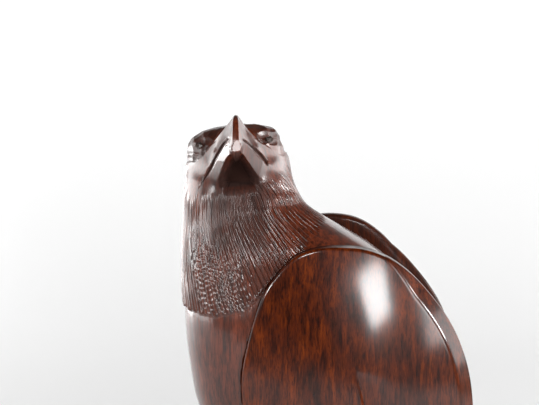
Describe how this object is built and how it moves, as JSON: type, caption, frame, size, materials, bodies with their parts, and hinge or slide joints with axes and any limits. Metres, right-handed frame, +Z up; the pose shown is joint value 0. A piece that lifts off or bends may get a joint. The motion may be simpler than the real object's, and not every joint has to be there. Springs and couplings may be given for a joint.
{
  "type": "carved wooden bird figurine",
  "caption": "Polished hardwood carving of a perched bird of prey with folded domed wings and its head turned to one side, on a low stump.",
  "frame": {"origin": "centre of the figure's footprint, on the surface the felt pad rests on", "axes": "+Z up; the breast faces -Y and the bird's left side is +X, the side its head is turned to"},
  "size_m": [0.1088, 0.1752, 0.3027],
  "materials": {
    "ironwood_polished": "dark reddish-brown desert ironwood, carved and hand-polished to a gloss",
    "ironwood_figured": "figured orange-brown ironwood with dark upright grain streaks, mirror polished",
    "ironwood_dark": "dark ironwood, satin, tool-marked",
    "dowel_wood": "plain birch dowel, unfinished",
    "eye_bead": "small near-black polished bead",
    "screw_steel": "plain countersunk wood screw",
    "felt": "dark brown wool felt, self-adhesive"
  },
  "bodies": {
    "root": {"carved_body": "ironwood_polished", "left_wing": "ironwood_figured", "right_wing": "ironwood_figured", "tail": "ironwood_polished", "left_leg": "ironwood_polished", "right_leg": "ironwood_polished", "left_eye": "eye_bead", "right_eye": "eye_bead", "stump_base": "ironwood_dark", "felt_pad": "felt", "left_wing_dowel_upper": "dowel_wood", "left_wing_dowel_lower": "dowel_wood", "right_wing_dowel_upper": "dowel_wood", "right_wing_dowel_lower": "dowel_wood", "tail_dowel": "dowel_wood", "left_leg_dowel": "dowel_wood", "right_leg_dowel": "dowel_wood", "left_leg_screw": "screw_steel", "right_leg_screw": "screw_steel"}
  },
  "joints": []
}
